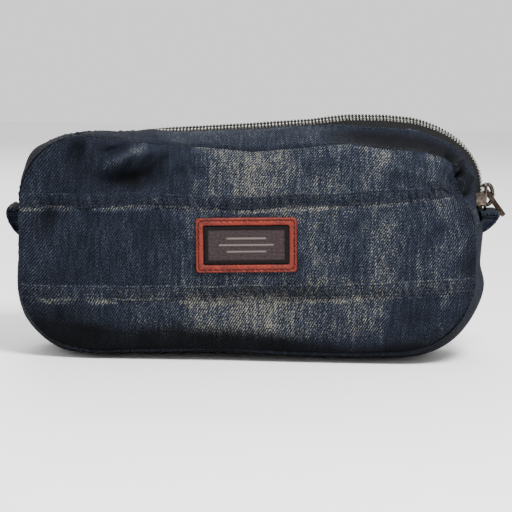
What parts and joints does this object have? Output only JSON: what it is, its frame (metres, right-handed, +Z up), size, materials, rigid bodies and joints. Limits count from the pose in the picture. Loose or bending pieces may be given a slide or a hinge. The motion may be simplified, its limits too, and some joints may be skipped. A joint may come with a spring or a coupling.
{
  "type": "waist pack",
  "caption": "Zipped denim pouch with rounded ends and a folded tab at each end for a belt or strap; a metal zip runs over the top, and a leather-framed label sits on the front.",
  "frame": {"origin": "on the surface it stands on, under the middle of the pouch without its tabs and puller", "axes": "+Z up, +X towards the end where the slider is parked, -Y out of the front that carries the patch"},
  "size_m": [0.2358, 0.075, 0.1116],
  "materials": {
    "denim": "washed dark indigo twill with faded bands",
    "dark_denim": "near-black indigo twill",
    "lining": "plain dark grey cloth",
    "binding": "black woven binding tape",
    "zip_tape": "black herringbone zip tape",
    "zip_teeth": "dulled antique metal",
    "gunmetal": "dark polished cast metal",
    "patch_leather": "orange-red leather with a satin face",
    "label": "woven grey-brown label"
  },
  "bodies": {
    "pouch": {"back_panel": "denim", "bottom_gusset": "dark_denim", "end_tab_left": "dark_denim", "end_tab_right": "dark_denim", "felled_seam_lower": "denim", "felled_seam_upper": "denim", "front_strip_lower": "denim", "front_strip_middle": "denim", "front_strip_upper": "denim", "gusset_back_left": "denim", "gusset_back_right": "denim", "gusset_front_left": "denim", "gusset_front_right": "denim", "lining_back": "lining", "lining_bottom": "lining", "lining_corner_back_left": "lining", "lining_corner_back_right": "lining", "lining_corner_front_left": "lining", "lining_corner_front_right": "lining", "lining_front": "lining", "patch_frame": "patch_leather", "patch_label": "label", "seam_binding_back": "binding", "seam_binding_front": "binding", "zip_stop_back": "zip_teeth", "zip_stop_end": "zip_teeth", "zip_stop_front": "zip_teeth", "zip_tape_back_left": "zip_tape", "zip_tape_back_right": "zip_tape", "zip_tape_front_left": "zip_tape", "zip_tape_front_right": "zip_tape", "zip_teeth_back_left": "zip_teeth", "zip_teeth_back_right": "zip_teeth", "zip_teeth_front_left": "zip_teeth", "zip_teeth_front_right": "zip_teeth"},
    "mouth_front": {"gusset_front_mouth": "denim", "lining_mouth_front": "lining", "zip_tape_front_mouth": "zip_tape", "zip_teeth_front_mouth": "zip_teeth"},
    "mouth_back": {"gusset_back_mouth": "denim", "lining_mouth_back": "lining", "zip_tape_back_mouth": "zip_tape", "zip_teeth_back_mouth": "zip_teeth"},
    "slider": {"slider_body": "gunmetal"},
    "puller": {"puller": "gunmetal"}
  },
  "joints": [
    {"name": "slider_travel", "type": "hinge", "parent": "pouch", "child": "slider", "pos_m": [0, 0, 0.077], "axis": [0, -1, 0], "range_deg": [0, 180], "deforming": ["zip_teeth_front_right", "zip_teeth_front_left", "zip_teeth_back_right", "zip_teeth_back_left", "zip_tape_front_right", "zip_tape_front_left", "zip_tape_back_right", "zip_tape_back_left"]},
    {"name": "mouth_front_open", "type": "hinge", "parent": "pouch", "child": "mouth_front", "pos_m": [0, -0.029, 0.1045], "axis": [1, 0, 0], "range_deg": [0, 50]},
    {"name": "mouth_back_open", "type": "hinge", "parent": "pouch", "child": "mouth_back", "pos_m": [0, 0.029, 0.1045], "axis": [-1, 0, 0], "range_deg": [0, 50]},
    {"name": "puller_swing", "type": "hinge", "parent": "slider", "child": "puller", "pos_m": [0.1119, 0, 0.077], "axis": [0, -1, 0], "range_deg": [0, 106]}
  ],
  "couplings": [
    {"joint": "mouth_front_open", "follows": "slider_travel", "ratio": 0.27778},
    {"joint": "mouth_back_open", "follows": "slider_travel", "ratio": 0.27778}
  ]
}
